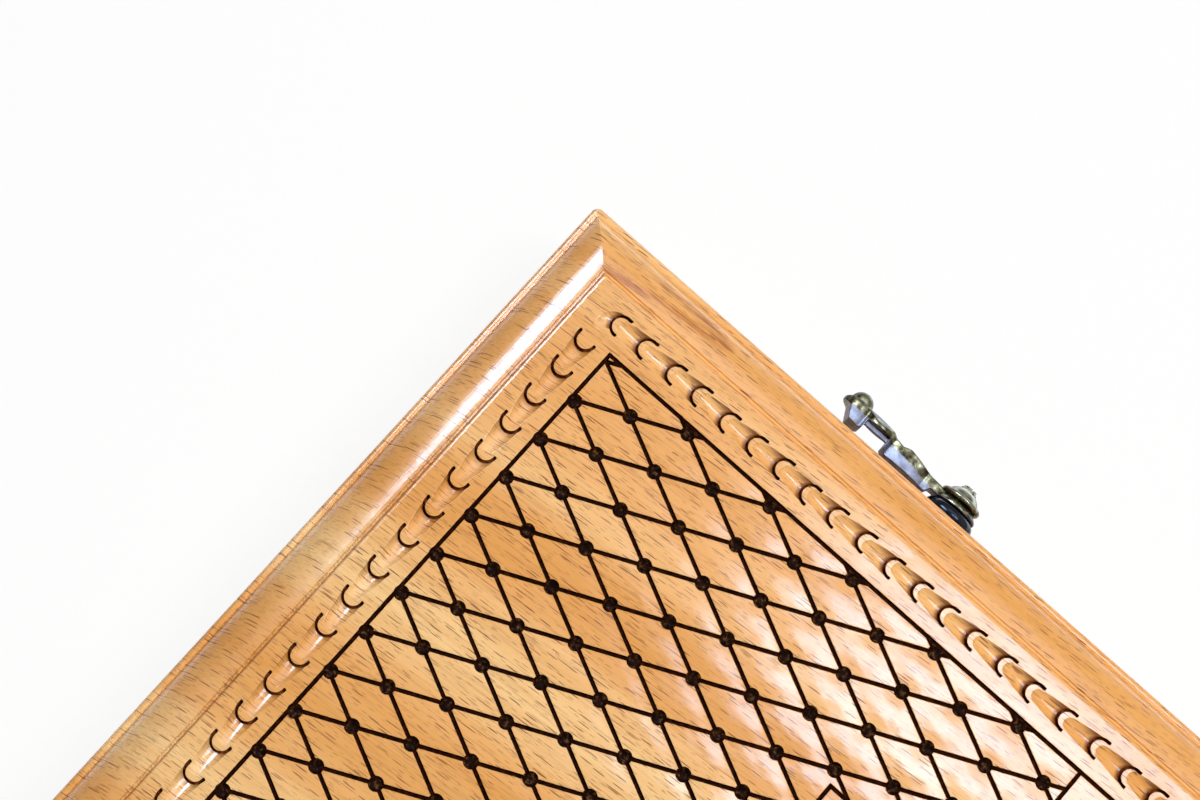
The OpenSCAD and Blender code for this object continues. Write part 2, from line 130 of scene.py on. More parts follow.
def add_block(name, size, height=0.0):
    """A block of this size, its middle at this height."""
    leave_all()
    bpy.ops.mesh.primitive_cube_add(size=1, location=(0, 0, height), scale=size)
    piece = name_new(name)
    fix_place(piece)
    return piece


# The profile of the moulding, as distances in from the edge and up from the inside, in mm.
profile = []
for degrees in bead_turns:
    turn = math.radians(degrees)
    profile.append((bead_r * (1 - math.cos(turn)), lip_top - bead_r * (1 - math.sin(turn))))
profile += bead_valley
foot = math.asin((lip_top - ovolo_centre[1]) / ovolo_r)
crown = math.acos((ovolo_centre[0] - ovolo_end) / ovolo_r)
for i in range(1, ovolo_steps + 1):
    turn = foot + (crown - foot) * i / ovolo_steps
    inward = ovolo_centre[0] - ovolo_r * math.cos(turn)
    profile.append((inward, ovolo_centre[1] + ovolo_r * math.sin(turn)))
profile += ledge_floor + field_shoulder

bead_foot = lip_top - bead_r
blank = (panel_length, panel_width, bead_foot * MM)
panel = add_block("upper_carved_panel", blank, panel_inside + bead_foot / 2 * MM)
edit()
select(panel, "faces", lambda face: face.normal.z > 0.9)
reached = (0.0, bead_foot)
for inward, height in profile:
    bpy.ops.mesh.inset(
        thickness=(inward - reached[0]) * MM, depth=(height - reached[1]) * MM, use_even_offset=True
    )
    reached = (inward, height)
leave_all()


# Dark lines of the lattice
# The lines are cut with a parting tool, burnt dark and lacquered over. A frame line runs round
# the field, nineteen lozenges fill its width at each end, and a plain rectangle is left inside.
frame_x = 272.0
frame_y = 122.0
closing_x = 118.5
centre_x = 162.4
centre_y = 78.6
lattice_x = 271.6
step_x = 13.43
step_y = 6.326
rows = 38
line_top = 0.72
line_edge = 0.52
line_floor = 0.26
line_depth = 0.85
line_lid = 0.1
BEECH, BURNT, GOUGED, CELL, SCORCHED, DIMPLE = range(6)


def paint(hex_colour):
    channels = [int(hex_colour[i : i + 2], 16) / 255 for i in (1, 3, 5)]
    return [c / 12.92 if c <= 0.04045 else ((c + 0.055) / 1.055) ** 2.4 for c in channels] + [1.0]


def join(pieces):
    leave_all()
    for piece in pieces:
        piece.select_set(True)
    bpy.context.view_layer.objects.active = pieces[0]
    bpy.ops.object.join()
    return pieces[0]


def set_out(pattern, name, places, height=panel_face):
    """Copies a cutter to each place: x and y in mm, its turn in radians and its stretch along X."""
    made = []
    for x, y, turn, stretch in places:
        turned = Matrix.Rotation(turn, 4, "Z") @ Matrix.Diagonal((stretch, 1, 1, 1))
        place = Matrix.Translation((x * MM, y * MM, height)) @ turned
        made.append(add_copy(pattern, name, place))
    return join(made)


def cut(piece, cutter, solver="MANIFOLD", operation="DIFFERENCE"):
    work_on(piece)
    modifier = piece.modifiers.new("cut", "BOOLEAN")
    modifier.operation = operation
    modifier.solver = solver
    modifier.material_mode = "INDEX"
    modifier.object = cutter
    bpy.ops.object.modifier_apply(modifier="cut")
    bpy.data.objects.remove(cutter)


def slots_of(piece, materials, index):
    piece.data.materials.clear()
    for material in materials:
        piece.data.materials.append(material)
    for face in piece.data.polygons:
        face.material_index = index


def crossings(x, y, across, along):
    """Parts of the line through x, y that lie in the lattice, as distances along its direction."""

    def inside(half_x, half_y, centre):
        low, high = -1e9, 1e9
        for start, speed, middle, half in ((x, across, centre, half_x), (y, along, 0, half_y)):
            ends = sorted(((middle - half - start) / speed, (middle + half - start) / speed))
            low, high = max(low, ends[0]), min(high, ends[1])
        return (low, high) if high - low > 1 else None

    half_x = (frame_x - closing_x) / 2
    whole = inside(half_x, frame_y, closing_x + half_x)
    if not whole:
        return []
    hole = inside(centre_x, centre_y, 0)
    if not hole or hole[1] <= whole[0] or hole[0] >= whole[1]:
        return [whole]
    return [part for part in ((whole[0], hole[0]), (hole[1], whole[1])) if part[1] - part[0] > 1]


finishes = "lacquered_beech burnt_line gouged_beech lozenge_beech scorched_stamp burnt_dimple"
materials = [bpy.data.materials.new(name) for name in finishes.split()]
slots_of(panel, materials, BEECH)


def upright(edge):
    return abs(edge.verts[0].co.z - edge.verts[1].co.z) > MM


outline = [size + 2 * corner_play * MM for size in (panel_length, panel_width)]
rounded_block = add_block("rounded_block", (*outline, corner_block * MM), panel_face)
slots_of(rounded_block, materials, BEECH)
edit()
select(rounded_block, "edges", upright)
bpy.ops.mesh.bevel(offset=corner_r * MM, segments=6, affect="EDGES")
leave_all()
cut(panel, rounded_block, operation="INTERSECT")

groove = add_block("groove_pattern", (MM, 2 * line_top * MM, 2 * line_lid * MM))
slots_of(groove, materials, BEECH)
edit()
select(groove, "faces", lambda face: face.normal.z < -0.9)
bpy.ops.transform.resize(value=(1, line_edge / line_top, 1))
bpy.ops.mesh.extrude_region_move(TRANSFORM_OT_translate={"value": (0, 0, (line_lid - line_depth) * MM)})
bpy.ops.transform.resize(value=(1, line_floor / line_edge, 1))
bpy.ops.mesh.select_more()
groove.active_material_index = BURNT
select(groove, "faces", lambda face: face.calc_center_median().z < -1.5 * line_lid * MM)
bpy.ops.object.material_slot_assign()
leave_all()

# Each sloping line starts on the lower edge of the lattice or beyond its end, and is cut where it
# lies in the lattice.
slope = math.atan2(step_y, step_x)
for lean in (1, -1):
    places = []
    for end in (1, -1):
        across, along = math.cos(slope), lean * math.sin(slope)
        for i in range(-rows, rows + 60, 2):
            x, y = lattice_x - i * step_x, (-rows / 2) * step_y
            for low, high in crossings(x, y, across, along):
                middle = (low + high) / 2
                places.append(
                    (end * (x + middle * across), end * (y + middle * along), lean * slope, high - low)
                )
    cut(panel, set_out(groove, "lattice_cutter", places))

quarter = math.pi / 2
closing_middle = (frame_y + centre_y) / 2
long_lines = [(0, side * frame_y, 0, 2 * frame_x + 1) for side in (1, -1)]
long_lines += [(0, side * centre_y, 0, 2 * centre_x + 1) for side in (1, -1)]
cross_lines = [(side * frame_x, 0, quarter, 2 * frame_y + 1) for side in (1, -1)]
cross_lines += [(side * centre_x, 0, quarter, 2 * centre_y + 1) for side in (1, -1)]
closing_length = frame_y - centre_y + 0.5
for side in (1, -1):
    for other in (1, -1):
        cross_lines.append((side * closing_x, other * closing_middle, quarter, closing_length))
cut(panel, set_out(groove, "long_line_cutter", long_lines))
cut(panel, set_out(groove, "cross_line_cutter", cross_lines))
bpy.data.objects.remove(groove)

for face in panel.data.polygons:
    x, y, z = face.center / MM
    in_lattice = closing_x < abs(x) < frame_x and abs(y) < frame_y
    in_centre = abs(x) < centre_x and abs(y) < centre_y
    if face.normal.z > 0.9 and z > panel_face / MM - 0.1 and in_lattice and not in_centre:
        face.material_index = CELL


# Drilled dots of the lattice
# Where two lines cross, a round-nosed bit has sunk a dimple, 4 mm wide. Along the long sides the
# wood between a dot and the frame line is taken out too, which leaves a dark triangle.
dot_ball = 2.225
dot_lift = 0.975
dot_columns = 12
dot_from_frame = 0.8
dot_clearance = 3
triangle_half = 3.76
triangle_depth = 0.6

leave_all()
bpy.ops.mesh.primitive_uv_sphere_add(
    segments=16, ring_count=10, radius=dot_ball * MM, location=(0, 0, dot_lift * MM)
)
dot = name_new("dot_pattern")
fix_place(dot)
slots_of(dot, materials, DIMPLE)
places = []
for i in range(dot_columns):
    for j in range(rows + 1):
        x = lattice_x - (dot_from_frame if i == 0 else i * step_x)
        y = (j - rows / 2) * step_y
        corner = i == 0 and j in (0, rows)
        bare = abs(x) < centre_x + dot_clearance and abs(y) < centre_y + dot_clearance
        if (i + j) % 2 == 0 and not corner and not bare:
            places += [(x, y, 0, 1), (-x, -y, 0, 1)]
cut(panel, set_out(dot, "dot_cutter", places))
bpy.data.objects.remove(dot)

leave_all()
bpy.ops.mesh.primitive_cylinder_add(vertices=3, radius=MM, depth=triangle_depth * MM * 2)
triangle = name_new("triangle_pattern")
edit()
select_all()
gap = frame_y - rows / 2 * step_y
bpy.ops.transform.resize(value=(2 * triangle_half / math.sqrt(3), gap / 1.5, 1))
bpy.ops.transform.translate(value=(0, -gap / 3 * 2 * MM, 0))
leave_all()
slots_of(triangle, materials, DIMPLE)
places = []
for i in range(2, dot_columns, 2):
    x, y = lattice_x - i * step_x, -rows / 2 * step_y
    for side in (1, -1):
        places += [(side * x, y, 0, 1), (side * x, -y, math.pi, 1)]
cut(panel, set_out(triangle, "triangle_cutter", places))
bpy.data.objects.remove(triangle)


# Gouge scales of the border
# A gouge is stamped upright into the wood, which leaves a horseshoe cut that is burnt dark. A
# second cut then scoops the wood out towards it, deep at the stamp and running out shallow. The
# stamps are set by eye, so their spacing varies.
scale_half = 3.1
scale_wall = 0.85
scale_thin = 0.6
scale_middle = -2.85
scale_depth = 2.0
outer_arm = 4.15
inner_arm = 3.1
gouge_r = 3.3
scoop_length = 5.3
scoop_deep = 1.5
scoop_shallow = 0.68
scoop_start = -2.7
scoop_reach = 12
scoop_lid = 0.3
stamp_legs = 5
border_x = 278.85
border_y = 129.2
corner_scale = (277.2, 126.6)
long_steps = (8.6, 9.6, 8.2, 9.5, 8.8, 8.7, 9.0, 8.8, 9.3, 9.2, 8.9, 8.8, 8.8, 9.8, 9.2, 10.4, 10.4, 10.2)
end_steps = (9.5, 9.2, 9.6, 8.7, 9.7, 9.3, 9.5, 10.5, 9.2, 9.3, 9.4)
long_scales = 60
end_scales = 27
scale_pitch = 9.0
hand_shift = 0.15
hand_turn = 0.04
turn_start = -1.4
turn_r = 3.1
turn_rise = 1.25
turn_tail = (0.2, 3.2, 0.4)
turn_steps = 8

last_scales = [(corner_scale[0], -border_y, 0, 1), (border_x, corner_scale[1], quarter, 1)]
scale_places = []
for count, steps, (x, y, turn, stretch) in (
    (long_scales, long_steps, last_scales[0]),
    (end_scales, end_steps, last_scales[1]),
):
    for i in range(count - 1):
        step = steps[i % len(steps)]
        x -= step * math.cos(turn)
        y -= step * math.sin(turn)
        off = hand_shift * math.sin(2.3 * i)
        place = (x + off * math.sin(turn), y + off * math.cos(turn))
        scale_places.append((*place, turn + hand_turn * math.sin(1.7 * i), step / scale_pitch))
scale_places += [(-x, -y, turn + math.pi, stretch) for x, y, turn, stretch in scale_places]
last_scales += [(-x, -y, turn + math.pi, 1) for x, y, turn, stretch in last_scales]

scoop_slope = math.atan2(scoop_deep - scoop_shallow, scoop_length)
leave_all()
bpy.ops.mesh.primitive_uv_sphere_add(
    segments=32, ring_count=16, radius=gouge_r * MM, rotation=(0, quarter, 0)
)
scoop = name_new("scoop_pattern")
fix_place(scoop)
edit()
select(scoop, "faces", lambda face: face.calc_center_median().x < 0)
bpy.ops.transform.translate(value=(-scoop_reach * MM, 0, 0))
select_all()
scoop_tip = Vector((scoop_length, 0, gouge_r - scoop_shallow)) * MM
bpy.ops.transform.rotate(value=scoop_slope, orient_axis="Y", center_override=(0, 0, 0))
bpy.ops.transform.translate(value=scoop_tip)


def slice_off(point, direction):
    """Cuts away all that lies beyond the plane, and closes the cut."""
    select_all()
    bpy.ops.mesh.bisect(
        plane_co=Vector(point) * MM, plane_no=direction, use_fill=True, clear_outer=True, threshold=1e-7
    )


slice_off((0, 0, scoop_lid), (0, 0, 1))
slice_off((scoop_start, 0, 0), (-1, 0, 0))
leave_all()
slots_of(scoop, materials, GOUGED)


def horseshoe(name, half, middle):
    """An upright block with a half round front, which runs straight back from its middle."""
    leave_all()
    bpy.ops.mesh.primitive_cylinder_add(vertices=48, radius=half * MM, depth=2 * scale_depth * MM)
    piece = name_new(name)
    edit()
    select(piece, "verts", lambda vertex: vertex.co.x < -0.01 * MM)
    bpy.ops.transform.translate(value=(-stamp_legs * MM, 0, 0))
    select_all()
    bpy.ops.transform.translate(value=(middle * MM, 0, 0))
    leave_all()
    slots_of(piece, materials, SCORCHED)
    return piece


stamp_shift = scale_wall - scale_thin
standing = scale_half - scale_wall / 2
cut(scoop, horseshoe("standing_wood", standing, scale_middle + stamp_shift / 2), "EXACT")
cut(panel, set_out(scoop, "scoop_cutter", scale_places))
bpy.data.objects.remove(scoop)

leave_all()
bpy.ops.mesh.primitive_circle_add(
    vertices=40,
    radius=gouge_r * MM,
    fill_type="NGON",
    location=(turn_start * MM, 0, (gouge_r - scoop_deep) * MM),
    rotation=(quarter, 0, quarter),
)
corner_scoop = name_new("corner_scoop")
fix_place(corner_scoop)
edit()
slice_off((0, 0, scoop_lid), (0, 0, 1))
select_all()
turn_middle = (turn_start * MM, turn_r * MM, 0)
for i in range(turn_steps):
    bpy.ops.mesh.extrude_region_move(TRANSFORM_OT_translate={"value": (0, 0, turn_rise / turn_steps * MM)})
    bpy.ops.transform.rotate(value=-quarter / turn_steps, orient_axis="Z", center_override=turn_middle)
bpy.ops.mesh.extrude_region_move(TRANSFORM_OT_translate={"value": [c * MM for c in turn_tail]})
select_all()
bpy.ops.mesh.normals_make_consistent(inside=False)
leave_all()
slots_of(corner_scoop, materials, GOUGED)
cut(corner_scoop, horseshoe("standing_wood", standing, scale_middle + stamp_shift / 2), "EXACT")
cut(panel, set_out(corner_scoop, "corner_cutter", last_scales))
bpy.data.objects.remove(corner_scoop)

stamp = horseshoe("stamp_cut", scale_half, scale_middle)
cut(stamp, horseshoe("standing_wood", scale_half - scale_wall, scale_middle + stamp_shift), "EXACT")
work_on(stamp)
edit()
arms_skew = math.atan2(outer_arm - inner_arm, 2 * scale_half)
arm_reach = (scale_middle + 0.1) * MM
slice_off((-(outer_arm + inner_arm) / 2, 0, 0), (-math.cos(arms_skew), math.sin(arms_skew), 0))
select(stamp, "edges", lambda edge: upright(edge) and all(v.co.x < arm_reach for v in edge.verts))
bpy.ops.mesh.bevel(offset=0.35 * scale_wall * MM, segments=3, affect="EDGES")
leave_all()
slots_of(stamp, materials, SCORCHED)
stamp_places = [(x, y, turn, 1) for x, y, turn, stretch in scale_places + last_scales]
cut(panel, set_out(stamp, "stamp_cutter", stamp_places))
bpy.data.objects.remove(stamp)


# The mitres of the moulding and the edges between finishes stay sharp.
mitre_offset = (panel_length - panel_width) / 2


def on_mitre(edge):
    return all(abs(abs(v.co.x) - abs(v.co.y) - mitre_offset) < 0.02 * MM for v in edge.verts)


def between_finishes(edge):
    return len({face.material_index for face in edge.link_faces} - {CELL}) > 1


work_on(panel)
edit()
for wanted in (on_mitre, between_finishes):
    select(panel, "edges", wanted)
    bpy.ops.mesh.mark_sharp()
work_on(panel)
bpy.ops.object.shade_smooth_by_angle(angle=math.radians(32), keep_sharp_edges=True)

# The scorch and painted shade in a scoop follow its place from the stamp: ahead of it, outwards, and how
# much.
from_stamp = panel.data.attributes.new("from_stamp", "FLOAT_VECTOR", "CORNER")
# The ends get less of both, as their scoops are better lit.
end_scorch_and_shade = 0.45
scoop_half = Vector((3.5, 0, 0))
unturned = [
    (Matrix.Rotation(-turn, 3, "Z"), Vector((x, y, 0)), 1.0 if abs(y) > frame_y else end_scorch_and_shade)
    for x, y, turn, stretch in stamp_places
]


def nearest_stamp(point):
    return min(unturned, key=lambda spot: (spot[0] @ (point - spot[1]) - scoop_half).length)


for face in panel.data.polygons:
    if face.material_index == GOUGED:
        middle = Vector((face.center.x, face.center.y, 0)) / MM
        back, origin, scorch_and_shade_share = nearest_stamp(middle)
        for corner in face.loop_indices:
            point = panel.data.vertices[panel.data.loops[corner].vertex_index].co / MM
            place = back @ (Vector((point.x, point.y, 0)) - origin)
            from_stamp.data[corner].vector = (place.x, -place.y, scorch_and_shade_share)


# Beech, burnt carving and lacquer of the panels
# The wood is European beech: golden tan, with short dark ray flecks, soft growth bands and fine
# fibre. Many coats of clear gloss lacquer lie over it, a little wavy, and sunk in at the carving.
# Places and sizes in the patterns are in mm.
beech_light = "#FDCF8C"
beech_main = "#F1B064"
beech_shade = "#DF9638"
fleck_brown = "#783400"
# Brown for painted shade in the moulding's hollows, and for scorch and painted shade round the stamps.
scorch_and_shade_brown = "#7A3F12"
streak_brown = "#A04C08"
grain_lean = math.radians(-5)
grain_shear = 0.25
band_size = (150, 17, 60)
ring_size = (900, 8 / 0.314, 120)
ring_most = 0.22
fibre_size = (11, 0.4, 0.8)
wander_size = (25, 3, 30)
wander_reach = 1.5

# A broad light band of the plank crosses the lattice, and fades towards the border.
plank_wave = 60.0
plank_middle = -51.0
plank_fade = (-104.0, -82.0)
plank_tones = ((-0.55, beech_shade), (1.0, beech_light))

# Each kind of fleck: its cell against the wood's own, half its length and width, how deep it goes
# in a cell, the share of cells that have one, and its strength.
panel_cell = (5.2, 1.5, 60.0)
fleck_kinds = (
    (1.0, 2.0, 0.15, 0.5, 0.75, 1.0),
    (0.6, 1.0, 0.11, 0.3, 0.7, 0.6),
    (1.8, 3.6, 0.12, 0.9, 0.6, 1.0),
)
fleck_most = 0.9

# Round a stamp: a scorched halo outside its cut, and painted shade on the outer wall of the scoop, which
# faces away from the light.
halo_reach = (scale_half + 1.4, scale_half + 0.1, 0.9)
shaded_wall_reach = (0.6, 2.5, 0.8)
shaded_wall_run = (5.5, 0.3, 1.0)

# Painted shade in the ledge and in the quirk at the ends: how far in, half its width, and strength.
board_half = (panel_length / MM / 2, panel_width / MM / 2)
painted_recess_shades = ((12.95, 0.85, 0.5), (1.9, 0.3, 0.35))

# Growth streaks beside the corner: first and last x, y at the first, slope, half width, strength.
# They fade in and out over the stretches given from their ends.
streaks = ((249, 290, -144.3, 0.165, 1.7, 1.0), (251, 277, -145.0, 0.0, 1.6, 0.9))
streak_start = (-1, 4)
streak_end = (3, -8)

# Lacquer: its waves and pores, in waves to a metre and mm, and how it sinks to a lozenge's lines.
lacquer_waves = (130.0, 0.08)
lacquer_pores = (2400.0, 0.009)
pillow_reach = 0.42
pillow_rise = 0.09
bevel_r = 0.25


def add_node(material, kind, inputs=None, **settings):
    node = material.node_tree.nodes.new("ShaderNode" + kind)
    for name, value in settings.items():
        setattr(node, name, value)
    for name, value in (inputs or {}).items():
        if isinstance(value, bpy.types.NodeSocket):
            material.node_tree.links.new(value, node.inputs[name])
        else:
            node.inputs[name].default_value = value
    return node


def start(material):
    material.use_nodes = True
    material.node_tree.nodes.clear()
    return add_node(material, "TexCoord").outputs["Object"]


def finish_surface(material, inputs):
    surface = add_node(material, "BsdfPrincipled", inputs)
    add_node(material, "OutputMaterial", {"Surface": surface.outputs[0]})


def calculate(material, operation, *values):
    return add_node(material, "Math", dict(enumerate(values)), operation=operation).outputs[0]


def times(material, one, other):
    return calculate(material, "MULTIPLY", one, other)


def ease(material, value, start_at, full_at, most, least=0.0, kind="SMOOTHSTEP"):
    """Rises from the least to the most, while the value goes from one level to another."""
    inputs = {"Value": value, "From Min": start_at, "From Max": full_at, "To Min": least, "To Max": most}
    return add_node(material, "MapRange", inputs, interpolation_type=kind).outputs[0]


def slide(material, value, start_at, full_at, most, least=0.0):
    return ease(material, value, start_at, full_at, most, least, "LINEAR")


def in_mm(material, place, turn=0.0):
    """The place in mm, turned so that the grain runs along X."""
    inputs = {"Vector": place, "Rotation": (0, 0, turn), "Scale": (1000, 1000, 1000)}
    return add_node(material, "Mapping", inputs).outputs[0]


def in_cells(material, place, size):
    """The place in cells of this size."""
    return add_node(material, "Mapping", {"Vector": place, "Scale": [1 / s for s in size]}).outputs[0]


def noise(material, place, scale, detail, **more):
    inputs = {"Vector": place, "Scale": scale, "Detail": detail, **more}
    return add_node(material, "TexNoise", inputs).outputs[0]


def tinted(material, value, *colours):
    """Colours that follow a value, each given with its place."""
    ramp = add_node(material, "ValToRGB", {"Fac": value})
    stops = ramp.color_ramp.elements
    while len(stops) < len(colours):
        stops.new(0.5)
    for stop, (position, colour) in zip(stops, colours):
        stop.position = position
        stop.color = paint(colour)
    return ramp.outputs[0]


def stain_with(material, colour, share, tone):
    """Lays a tone over a colour, where the share says."""
    inputs = {"Factor": share, 6: colour, 7: paint(tone)}
    return add_node(material, "Mix", inputs, data_type="RGBA").outputs[2]


def uneven(material, height, depth, invert=False, **more):
    """A surface that follows the height, to this depth in mm."""
    inputs = {"Height": height, "Distance": depth * MM, "Strength": 1.0, **more}
    return add_node(material, "Bump", inputs, invert=invert).outputs[0]


def flecks(material, grain, cell, half, share):
    """Short dashes along the grain, one to a cell, with half their size, in a share of the cells."""
    cells = in_cells(material, grain, cell)
    spots = add_node(material, "TexVoronoi", {"Vector": cells, "Scale": 1.0})
    away = {0: cells, 1: spots.outputs["Position"]}
    away = add_node(material, "VectorMath", away, operation="SUBTRACT").outputs[0]
    away = {0: away, 1: [c / h for c, h in zip(cell, half)]}
    away = add_node(material, "VectorMath", away, operation="MULTIPLY").outputs[0]
    distance = add_node(material, "VectorMath", {0: away}, operation="LENGTH").outputs["Value"]
    dash = ease(material, distance, 1.08, 0.8, 1.0)
    chance = add_node(material, "SeparateColor", {0: spots.outputs["Color"]}).outputs[0]
    kept = calculate(material, "POWER", slide(material, chance, 1 - share, 1.0, 1.0), 0.5)
    return times(material, dash, kept)


def scorch_and_painted_shade(material):
    """How much scorch and painted shade the wood has round a stamp."""
    spot = add_node(material, "Attribute", attribute_name="from_stamp").outputs["Vector"]
    spot = add_node(material, "SeparateXYZ", {0: spot}).outputs
    back = calculate(material, "SUBTRACT", spot["X"], scale_middle)
    squares = calculate(material, "MULTIPLY_ADD", back, back, times(material, spot["Y"], spot["Y"]))
    halo = ease(material, calculate(material, "SQRT", squares), *halo_reach)
    # Painted shade on the outer wall of the scoop, strongest near the stamp.
    outer = times(material, ease(material, spot["Y"], *shaded_wall_reach), ease(material, spot["X"], *shaded_wall_run))
    return times(material, calculate(material, "MAXIMUM", halo, outer), spot["Z"])


def moulding_marks(material, place, at, grain, fibre):
    """Where painted shade darkens the ledge and the quirk at the ends, in mottled patches, and where the
    growth streaks are, each with its tone.
    """
    sides = [
        calculate(material, "MULTIPLY_ADD", calculate(material, "ABSOLUTE", at[axis]), -1000.0, half)
        for axis, half in zip("XY", board_half)
    ]
    inward = calculate(material, "MINIMUM", *sides)
    at_end = calculate(material, "LESS_THAN", *sides)
    # Mottled painted shade in the ledge and the quirk, at the ends only, where they face away from the
    # light.
    shade_mottle = ease(material, noise(material, place, 2200.0, 2.0), 0.35, 0.6, 1.0)
    marks = []
    for middle, half, most in painted_recess_shades:
        off = calculate(material, "ABSOLUTE", calculate(material, "SUBTRACT", inward, middle))
        held = times(material, ease(material, off, half, 0.4 * half, most), shade_mottle)
        marks.append((times(material, held, at_end), scorch_and_shade_brown))
    wander = noise(material, in_cells(material, grain, wander_size), 1.0, 3.0)
    wander = calculate(material, "MULTIPLY_ADD", wander, 2 * wander_reach, -wander_reach)
    along = times(material, at["X"], 1000.0)
    across = calculate(material, "MULTIPLY_ADD", at["Y"], 1000.0, wander)
    for first, last, side, lean, half, most in streaks:
        line = calculate(material, "MULTIPLY_ADD", along, -lean, lean * first - side)
        off = calculate(material, "ABSOLUTE", calculate(material, "ADD", across, line))
        held = times(material, ease(material, off, half, 0.0, most), ease(material, fibre, 0.3, 0.65, 1.0))
        for end, (none_at, full_at) in ((first, streak_start), (last, streak_end)):
            held = times(material, held, ease(material, along, end + none_at, end + full_at, 1.0))
        marks.append((held, streak_brown))
    return marks


def lozenge_sink(material, at):
    """How the lacquer rises from the lines of the lattice to the middle of each lozenge."""
    along = calculate(material, "ABSOLUTE", at["X"])
    along = calculate(material, "MULTIPLY_ADD", along, -1000 / step_x, lattice_x / step_x)
    across = calculate(material, "MULTIPLY_ADD", at["Y"], 1000 / step_y, rows / 2)
    rises = []
    for lean in (0.5, -0.5):
        line = calculate(material, "MULTIPLY_ADD", across, lean, times(material, along, 0.5))
        nearness = calculate(material, "PINGPONG", line, 0.5)
        rises.append(ease(material, nearness, 0.0, pillow_reach, pillow_rise))
    return calculate(material, "ADD", *rises)


def lacquered_beech(material, grain_turn, cell, pillow=False, scorched_and_shaded=False, moulded=False):
    """Beech with its grain turned, and with the marks of lozenges, gouge scales or the moulding."""
    place = start(material)
    at = add_node(material, "SeparateXYZ", {0: place}).outputs
    lean = add_node(material, "SeparateXYZ", {0: in_mm(material, place, grain_turn)}).outputs
    shifted = calculate(material, "MULTIPLY_ADD", lean["Z"], grain_shear, lean["Y"])
    grain = {"X": lean["X"], "Y": shifted, "Z": lean["Z"]}
    grain = add_node(material, "CombineXYZ", grain).outputs[0]

    bands = noise(material, in_cells(material, grain, band_size), 1.0, 2.0, Roughness=0.55)
    colour = tinted(material, bands, (0.2, beech_shade), (0.5, beech_main), (0.85, beech_light))
    turns = 2 * math.pi / plank_wave
    broad = calculate(material, "MULTIPLY_ADD", shifted, turns, -turns * plank_middle)
    broad = times(material, calculate(material, "COSINE", broad), ease(material, shifted, *plank_fade, 1.0))
    for most, tone in plank_tones:
        held = calculate(material, "MAXIMUM", times(material, broad, most), 0.0)
        colour = stain_with(material, colour, held, tone)
    rings = {"Vector": in_cells(material, grain, ring_size), "Scale": 1.0}
    rings.update({"Distortion": 5.0, "Detail": 2.0, "Detail Scale": 2.0})
    rings = add_node(material, "TexWave", rings, bands_direction="Y").outputs["Fac"]
    colour = stain_with(material, colour, times(material, rings, ring_most), beech_shade)
    fibre = noise(material, in_cells(material, grain, fibre_size), 1.0, 2.0)
    colour = stain_with(material, colour, slide(material, fibre, 0.5, 0.75, 0.3), fleck_brown)
    grit = ease(material, noise(material, place, 3500.0, 1.0), 0.45, 0.7, 0.25)
    colour = stain_with(material, colour, grit, beech_shade)
    fleck = 0.0
    for against, long, wide, deep, share, strength in fleck_kinds:
        dashes = flecks(material, grain, [against * c for c in cell], (long, wide, deep * cell[2]), share)
        fleck = calculate(material, "MAXIMUM", fleck, times(material, dashes, strength))
    colour = stain_with(material, colour, times(material, fleck, fleck_most), fleck_brown)
    # Scorch round the stamps, with painted shade on the scoops' outer walls.
    if scorched_and_shaded:
        colour = stain_with(material, colour, scorch_and_painted_shade(material), scorch_and_shade_brown)
    if moulded:
        for held, tone in moulding_marks(material, place, at, grain, fibre):
            colour = stain_with(material, colour, held, tone)

    height = times(material, noise(material, place, lacquer_pores[0], 1.0), lacquer_pores[1])
    waves = noise(material, place, lacquer_waves[0], 2.0)
    height = calculate(material, "MULTIPLY_ADD", waves, lacquer_waves[1], height)
    if pillow:
        height = calculate(material, "ADD", height, lozenge_sink(material, at))
    rounded = add_node(material, "Bevel", {"Radius": bevel_r * MM}, samples=4).outputs[0]
    surface = {
        "Base Color": colour,
        "Roughness": 0.4,
        "IOR": 1.5,
        "Specular IOR Level": 0.1,
        "Normal": uneven(material, fleck, 0.04, invert=True, Normal=rounded),
        "Coat Weight": 0.6,
        "Coat Roughness": 0.12,
        "Coat IOR": 1.5,
        "Coat Normal": uneven(material, height, 1.0, Normal=rounded),
    }
    finish_surface(material, surface)


beech, burnt, gouged, lozenge, scorched, dimple = materials
lacquered_beech(beech, grain_lean, panel_cell, moulded=True)
lacquered_beech(gouged, grain_lean, panel_cell, scorched_and_shaded=True)
lacquered_beech(lozenge, grain_lean, panel_cell, pillow=True)

# Wood charred by a hot tool: nearly black in the lines, brown in the stamps, and in the drilled
# dots flecked with brown under a little lacquer. It is rough and hardly shines.
for material, colours, lacquer in (
    (burnt, ("#1A0A04", "#2E1208", "#46200F"), 0.0),
    (scorched, ("#4A1E0E", "#74381A", "#A0602E"), 0.0),
    (dimple, ("#140805", "#2A150A", "#75502C"), 0.03),
):
    place = start(material)
    char = noise(material, place, 900.0, 3.0, Roughness=0.6)
    rough = uneven(material, char, 0.2)
    surface = {
        "Base Color": tinted(material, char, *zip((0.4, 0.55, 0.75), colours)),
        "Roughness": 0.5,
        "IOR": 1.5,
        "Specular IOR Level": 0.0,
        "Normal": rough,
        "Coat Weight": lacquer,
        "Coat Roughness": 0.15,
        "Coat Normal": rough,
    }
    finish_surface(material, surface)

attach(panel, "upper_half")
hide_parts("upper_outer_panel")

upside_down = Matrix.Translation((0, 0, panel_face)) @ Matrix.Diagonal((1, 1, -1, 1))
under = add_copy(panel, "lower_carved_panel", upside_down)
under.data.flip_normals()
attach(under, "lower_half")
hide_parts("lower_outer_panel")


